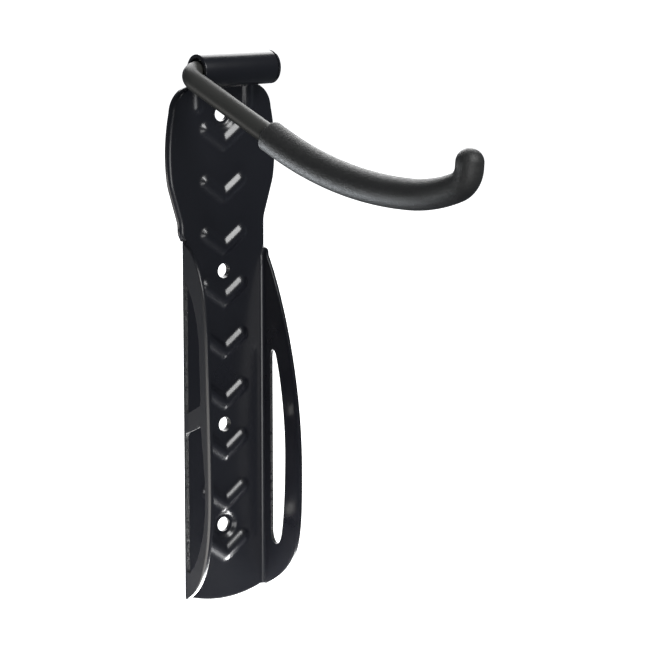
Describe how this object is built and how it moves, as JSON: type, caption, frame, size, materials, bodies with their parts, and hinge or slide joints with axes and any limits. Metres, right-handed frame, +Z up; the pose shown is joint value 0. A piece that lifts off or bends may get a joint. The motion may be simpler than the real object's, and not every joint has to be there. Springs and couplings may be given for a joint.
{
  "type": "bicycle wall rack",
  "caption": "Wall rack for hanging a bicycle by its front wheel: a pressed steel back plate with a tyre tray between two open wings, and a padded hook that swings in a tube.",
  "frame": {"origin": "centre of the top screw hole, on the wall plane", "axes": "+Z up the wall, +Y into the wall, -Y out towards the user, +X to the right of someone facing the wall"},
  "size_m": [0.0763, 0.2141, 0.3196],
  "materials": {
    "enamel": "gloss, navy black",
    "rod": "satin, dark grey",
    "sleeve": "matt, fine grain",
    "nylon": "natural",
    "steel": "plain"
  },
  "bodies": {
    "bracket": {"back_plate": "enamel", "pivot_tube": "enamel", "weld_lower": "enamel", "weld_upper": "enamel", "bush_left": "nylon", "bush_right": "nylon"},
    "hook": {"hook_rod": "rod", "grip_sleeve": "sleeve", "stop_pin": "steel", "end_cap": "enamel"}
  },
  "joints": [
    {"name": "hook_swing", "type": "hinge", "parent": "bracket", "child": "hook", "pos_m": [0, -0.014, 0.0263], "axis": [-1, 0, 0], "range_deg": [0, 95]}
  ]
}
